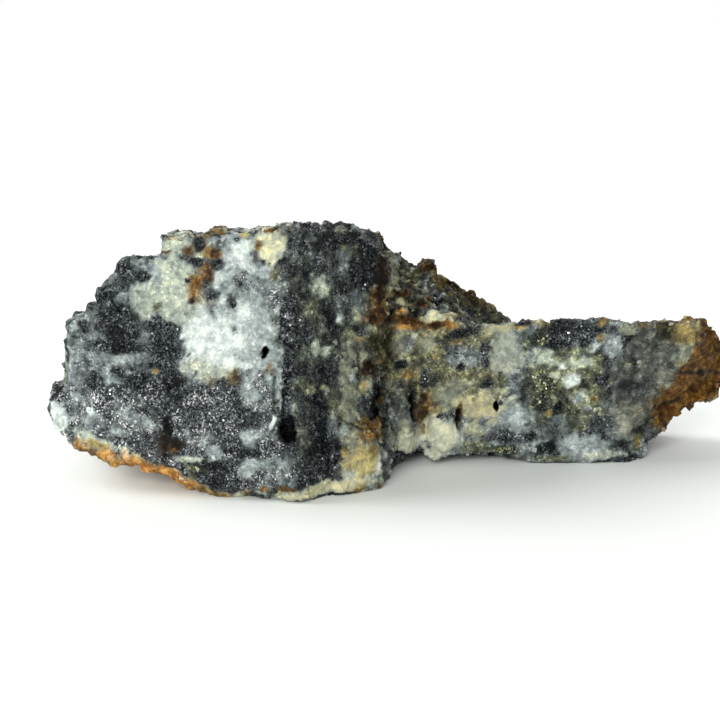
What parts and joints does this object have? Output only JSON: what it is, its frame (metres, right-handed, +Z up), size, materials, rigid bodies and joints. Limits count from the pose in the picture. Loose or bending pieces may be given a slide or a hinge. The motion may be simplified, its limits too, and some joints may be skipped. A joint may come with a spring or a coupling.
{
  "type": "gersdorffite ore specimen",
  "caption": "Broken hand specimen of grey metallic gersdorffite ore in pale quartz, a tall block with a lower arm, lying flat as a display stone.",
  "frame": {"origin": "middle of the stone's box, on the surface that it rests on", "axes": "+Z up; +X along the length from the tall block to the arm; the broad ore face looks towards -Y"},
  "size_m": [0.1424, 0.0716, 0.0516],
  "materials": {
    "ore_and_quartz": "freshly broken, dark grey metallic grains sparkling in pale translucent quartz, rust-brown stains"
  },
  "bodies": {
    "root": {"ore_specimen": "ore_and_quartz"}
  },
  "joints": []
}
